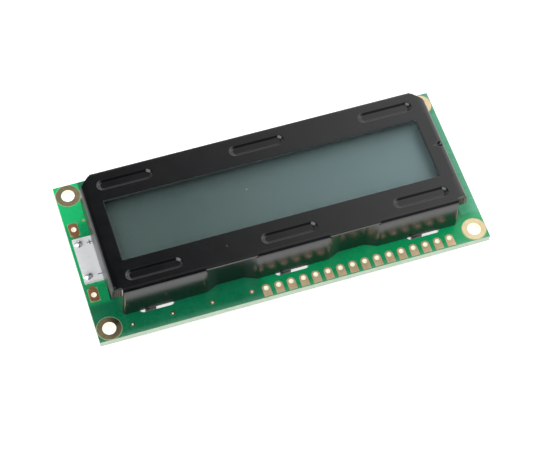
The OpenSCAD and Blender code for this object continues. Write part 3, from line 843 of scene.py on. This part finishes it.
def gusset(sx):
    """Small wall that closes a front corner: a strip folded down from the face, with
    shallow upright ribs, y = ridge * cos(2 pi x / pitch)."""
    x = np.linspace(NOTCH - 0.1, LONG - 0.35, 36)
    h = np.array([0.0, 0.03, 0.1, 0.5, 1.2, 2.0, 2.7, 3.2, 3.34, 3.4])
    X, H = np.meshgrid(x, h, indexing="ij")
    rib = 0.05 * np.cos(2 * math.pi * (X - NOTCH) / 0.34)
    tuck = 0.35 * np.clip(1 - H / 0.35, 0, 1) ** 2
    y = -(RECESS - 0.06 + rib - tuck)
    outer = np.dstack([sx * X, y, FACE - 0.02 - H])
    inner = np.dstack([sx * X, np.full(X.shape, -(RECESS - 0.55)), FACE - 0.02 - H])
    return sheet_solid([(outer, inner)])


def bezel_tab(x, side):
    """A tab through its slot: a rounded bar whose section turns by a smooth step from
    straight in the slot to 60 degrees under the board."""
    z = np.concatenate([np.linspace(TOP + 0.5, UNDER, 5), np.linspace(UNDER - 0.1, 0.75, 9),
                        np.linspace(0.6, 0.05, 4), [0.0]])
    t = np.clip((UNDER - z) / (UNDER - 0.75), 0, 1)
    angle = math.radians(60) * t * t * (3 - 2 * t)
    size = np.where(z < 0.02, 0.94, 1.0)
    outline = rounded_outline(2.2, 0.6, 0.12, 4)
    rings = []
    for level, turn, k in zip(z, angle, size):
        c, s = math.cos(turn), math.sin(turn)
        p = outline * k
        rings.append(np.column_stack([x + c * p[:, 0] - s * p[:, 1],
                                      side * (WIDE - 0.3) + s * p[:, 0] + c * p[:, 1],
                                      np.full(len(p), level)]))
    return closed_tube(np.array(rings))


bezel_parts = [bezel(), gusset(-1), gusset(1)]
for slot_middle in (-27.4, 0.0, 27.4):          # a tab stands near its slot's left end
    for side in (-1, 1):
        bezel_parts.append(bezel_tab(slot_middle - 1.45, side))
bezel_points, bezel_faces = merge_solids(bezel_parts)
place("pressed_bezel", bezel_points + SIT, bezel_faces, "black_paint", black_paint, sharp=38,
      replaces=["bezel_frame"])


# ---------------- backlight lands

def backlight_pad(side):
    """One plated hole with its land. The hole is a circle; the land's edge lies, in each
    direction from the hole, at the further of a rounded rectangle (a superellipse of
    power five) and a straight neck that runs to the white tab. The section, turned right
    round the hole, is the land on top, the barrel and a small ring below."""
    z0, z1 = (c[2] for c in corners("backlight_lands"))
    n = 240                         # points round the hole
    a = np.arange(n) * 2 * math.pi / n
    c, s = np.cos(a), np.sin(a)
    rect = ((np.abs(c) / 0.93) ** 5 + (np.abs(s) / 1.42) ** 5) ** -0.2
    reach = np.where(s * side < 0, 2.0, 0.01)
    neck = np.minimum(0.52 / np.maximum(np.abs(c), 1e-6), reach / np.maximum(np.abs(s), 1e-6))
    edge = np.maximum(rect, neck)
    bore, outer, under = np.full(n, 0.55), np.full(n, 0.6), np.full(n, 1.0)
    loop = [(bore, z0), (bore, z1), (edge - 0.02, z1), (edge, z1 - 0.02), (edge, TOP),
            (outer, TOP), (outer, UNDER), (under, UNDER), (under, z0)]
    points = np.stack([np.column_stack([WIRE_X + r * c, side * WIRE_Y + r * s, np.full(n, z)])
                       for r, z in loop], 1).reshape(-1, 3)
    i, j = np.meshgrid(np.arange(n), np.arange(len(loop)), indexing="ij")
    k, l = (i + 1) % n * len(loop), (j + 1) % len(loop)
    i = i * len(loop)
    faces = np.stack([i + j, k + j, k + l, i + l], -1).reshape(-1, 4)
    return points, faces.tolist()


pad_points, pad_faces = merge_solids([backlight_pad(-1), backlight_pad(1)])
place("backlight_pads", pad_points, pad_faces, "plated_copper", bare_copper,
      replaces=["backlight_lands"])


# ---------------- marks and solder

def flat_mark(outline, at):
    """A thin inked shape on the white tab: its outline, lifted by the thickness of the
    ink."""
    rings = [np.column_stack([outline + np.array(at), np.full(len(outline), z)])
             for z in (TAB_TOP, TAB_TOP + 0.02)]
    return closed_tube(np.array(rings))


def cross_outline(arm, width):
    """Outline of a plus sign: three corners in each quarter, turned four times."""
    w = width / 2
    quarter = np.array([[arm, w], [w, w], [w, arm]])
    turn = np.array([[0, 1], [-1, 0]])
    return np.concatenate([quarter @ np.linalg.matrix_power(turn, k) for k in range(4)])


def joint_shape(at, seed):
    """A solder joint: a bead whose radius is r (1 + small waves round it) and whose height
    falls as (1 - t^2) to a thin foot, with its crest off centre."""
    draw = np.random.default_rng(seed)
    t = np.array([1.0, 0.96, 0.88, 0.76, 0.62, 0.46, 0.30, 0.15, 0.05])
    th = np.linspace(0, 2 * math.pi, 28, endpoint=False)
    waves = sum(draw.uniform(0.02, 0.06) * np.cos(k * th + draw.uniform(0, 6.28))
                for k in (2, 3, 5))
    R = (0.98 * (1 + waves))[None, :] * t[:, None]
    H = 0.60 * (1 - t[:, None] ** 2) ** 0.8 * (1 + 0.10 * np.cos(th + 2.4)[None, :] * t[:, None])
    x = at[0] + R * np.cos(th) * 0.98 + 0.10 * (1 - t[:, None])
    y = at[1] + R * np.sin(th) * 0.86
    z = TAB_TOP + 0.005 + H
    return closed_tube(np.dstack([x, y, z]))


place("plus_mark", *flat_mark(cross_outline(0.52, 0.17), (-36.2, 3.6)), "white_mask", ink)
place("minus_mark", *flat_mark(rounded_outline(0.95, 0.17, 0.05, 3), (-36.1, -3.84)),
      "white_mask", ink)
for name, node, y, seed in (("positive_solder", "positive_joint", JOINT_Y, 3),
                            ("negative_solder", "negative_joint", -JOINT_Y, 8)):
    place(name, *joint_shape((-38.45, y), seed), "solder", tin, sharp=60, replaces=[node])


# ---------------- parts at the back

def moved(solid, at, turn=0.0):
    """A solid turned about z and set down at a place."""
    p, f = np.asarray(solid[0], float).copy(), solid[1]
    c, s = math.cos(turn), math.sin(turn)
    p[:, :2] = p[:, :2] @ np.array([[c, s], [-s, c]])
    return p + np.array(at), f


def chip_kind(name, node, places, size, turn, slot, material):
    """Chip parts of one kind under the board: rounded ceramic bodies, and in a second
    piece their tinned ends with a fillet of solder that spreads on to each land."""
    length, width, thick = size
    cap, bodies, ends = 0.16 * length, [], []
    body = soft_block(length - cap, width * 0.96, 0.03 - thick, -0.02, 0.04)
    end = soft_block(cap, width, -thick, 0.0, 0.05, middle=length / 2 - cap / 2)
    for at in places:
        bodies.append(moved(body, (*at, UNDER), turn))
        for side in (0.0, math.pi):
            ends.append(moved(end, (*at, UNDER), turn + side))
            ends.append(moved(fillet(length / 2, width, thick), (*at, UNDER), turn + side))
    place(name, *merge_solids(bodies), slot, material, replaces=[node])
    place(name + "_ends", *merge_solids(ends), "solder", tin, sharp=60)


def fillet(x0, width, thick):
    """Solder climbing a chip's end: its height falls as (1 - u)^2 along the land."""
    u = np.linspace(0, 1, 9)
    h = 0.78 * thick * (1 - u) ** 2 + 0.03
    across = np.linspace(-1, 1, 9)
    U, A = np.meshgrid(u, across, indexing="ij")
    x = x0 - 0.03 + 0.42 * U
    y = A * width * 0.5 * (1 + 0.06 * U)
    z = -h[:, None] * (1 - 0.25 * A ** 4)
    under = np.dstack([x, y, np.full(x.shape, -0.005)])
    return sheet_solid([(np.dstack([x, y, z]), under)])


def blob_shape(cx, seed):
    """Poured epoxy: a low dome, h (1 - t^2.4), on an outline whose radius carries small
    waves; its skirt ends in a thin meniscus."""
    draw = np.random.default_rng(seed)
    t = np.array([1.0, 0.985, 0.95, 0.9, 0.82, 0.72, 0.6, 0.46, 0.32, 0.18, 0.06])
    th = np.linspace(0, 2 * math.pi, 72, endpoint=False)
    waves = sum(draw.uniform(0.006, 0.018) * np.cos(k * th + draw.uniform(0, 6.28))
                for k in (2, 3, 4, 6))
    R = (6.35 * (1 + waves))[None, :] * t[:, None]
    H = 1.42 * (1 - t ** 2.4)[:, None] * (1 + 0.02 * np.cos(2 * th))[None, :]
    H = np.maximum(H, 0.05 * (1 - t[:, None]) / 0.015 * (t[:, None] > 0.98))
    return closed_tube(np.dstack([cx + R * np.cos(th), R * np.sin(th), UNDER - 0.002 - H]))


small, lamp_size, cap_size = (2.0, 1.25, 0.5), (3.2, 1.6, 0.55), (2.0, 1.25, 0.9)
chip_kind("bias_resistor_chips", "bias_resistors", [(0, i * 2.6) for i in range(-2, 3)], small,
          0.0, "resistor_body", chip_black)
chip_kind("clock_resistor_chip", "clock_resistor", [(-25, 4)], small, math.pi / 2,
          "resistor_body", chip_black)
chip_kind("lamp_resistor_chips", "lamp_resistors", [(-34, -2), (-34, 2)], lamp_size, 0.0,
          "resistor_body", chip_black)
chip_kind("filter_capacitor_chips", "filter_capacitors", [(26, -5), (30, -5)], cap_size,
          math.pi / 2, "capacitor_body", chip_tan)
place("controller_epoxy", *blob_shape(-15, 5), "black_epoxy", epoxy, sharp=60,
      replaces=["controller_blob"])
place("driver_epoxy", *blob_shape(15, 11), "black_epoxy", epoxy, sharp=60,
      replaces=["driver_blob"])


# ---------------- stage

ROOM, RIGHT, REAR, LEFT, OVERHEAD, FRONT_LEFT = 0.01, 1.55, 1.0, 1.05, 0.2, 3.0


def world_light():
    """A dim room with soft boxes. Each is a smooth step of the direction looked in:
    bright to the right and low at the back, dim to the left, a pale glow overhead, and
    one strong soft box high at the front left, where the step is of the dot product with
    the box's direction. What the camera sees past the floor is white."""
    world = bpy.data.worlds.new("studio")
    bpy.context.scene.world = world
    w = Nodes(world, "ShaderNodeOutputWorld", "Generated")
    x, y, z = w.split()

    def step(value, a, b, low, high):
        return w.remap(value, a, b, low, high, smooth=True)

    aim = Vector((-0.66, -0.42, 0.62)).normalized()
    facing = w.new("ShaderNodeVectorMath", [(0, w.coords), (1, aim)],
                   operation="DOT_PRODUCT").outputs["Value"]
    total = w.plus(ROOM,
                   w.times(step(x, 0.06, 0.42, 0.0, RIGHT), step(y, -0.75, -0.15, 0.25, 1.0)),
                   step(y, 0.42, 0.95, 0.0, REAR),
                   w.times(step(x, -0.55, -0.95, 0.0, LEFT), step(z, 0.5, 0.15, 0.0, 1.0)),
                   step(z, 0.88, 0.99, 0.0, OVERHEAD),
                   step(facing, 0.68, 0.95, 0.0, FRONT_LEFT))
    light = w.new("ShaderNodeBackground", [("Strength", total)])
    white = w.new("ShaderNodeBackground", [("Color", rgb(1, 1, 1)), ("Strength", 1.0)])
    seen = w.new("ShaderNodeLightPath").outputs["Is Camera Ray"]
    pick = w.new("ShaderNodeMixShader", [(0, seen), (1, light.outputs[0]),
                                         (2, white.outputs[0])])
    w.link(pick.outputs[0], w.output.inputs["Surface"])


world_light()


def floor_material():
    """Pale floor: a matt surface that takes the shadow, lifted to white for what looks at
    it straight, in a reflection or through glass."""
    m = material_nodes("pale floor")
    matt = m.new("ShaderNodeBsdfDiffuse", [("Color", rgb(0.80, 0.80, 0.80))])
    path = m.new("ShaderNodeLightPath").outputs
    seen = m.plus(path["Is Camera Ray"], path["Is Glossy Ray"])
    seen = m.math("ADD", seen, path["Is Transmission Ray"], clamp=True)
    glow = m.new("ShaderNodeEmission", [("Strength", m.times(seen, 0.72))])
    both = m.new("ShaderNodeAddShader", [(0, matt.outputs[0]), (1, glow.outputs[0])])
    m.link(both.outputs[0], m.output.inputs["Surface"])
    return m.owner


floor_mesh = bpy.data.meshes.new("floor")
floor_mesh.from_pydata([(-3, -3, 0), (3, -3, 0), (3, 3, 0), (-3, 3, 0)], [], [(0, 1, 2, 3)])
floor = bpy.data.objects.new("floor", floor_mesh)
bpy.context.scene.collection.objects.link(floor)
floor_mesh.materials.append(floor_material())


def camera():
    """Long lens from above the front left: back is the way from the board to the camera.
    The distance from the board and the two small shifts are in millimetres."""
    turn, tilt, roll = math.radians(-20.72), math.radians(59.58), math.radians(3.14)
    distance, shift_right, shift_up = 353.4, -0.12, -2.5
    back = Vector((math.sin(turn) * math.cos(tilt), -math.cos(turn) * math.cos(tilt),
                   math.sin(tilt)))
    level = Vector((math.cos(turn), math.sin(turn), 0.0))
    upright = back.cross(level)
    right = math.cos(roll) * level + math.sin(roll) * upright
    up = -math.sin(roll) * level + math.cos(roll) * upright
    data = bpy.data.cameras.new("camera")
    data.sensor_width = 36.0
    data.lens = 118.3
    data.clip_start, data.clip_end = 0.01, 20.0
    middle = Vector((0, 0, TOP))
    stand = (middle + back * distance + right * shift_right + up * shift_up) * MM
    turned = Matrix((right, up, back)).transposed().to_4x4()
    obj = bpy.data.objects.new("camera", data)
    bpy.context.scene.collection.objects.link(obj)
    obj.matrix_world = Matrix.Translation(stand) @ turned
    bpy.context.scene.camera = obj


camera()
bpy.context.scene.view_settings.view_transform = "Standard"
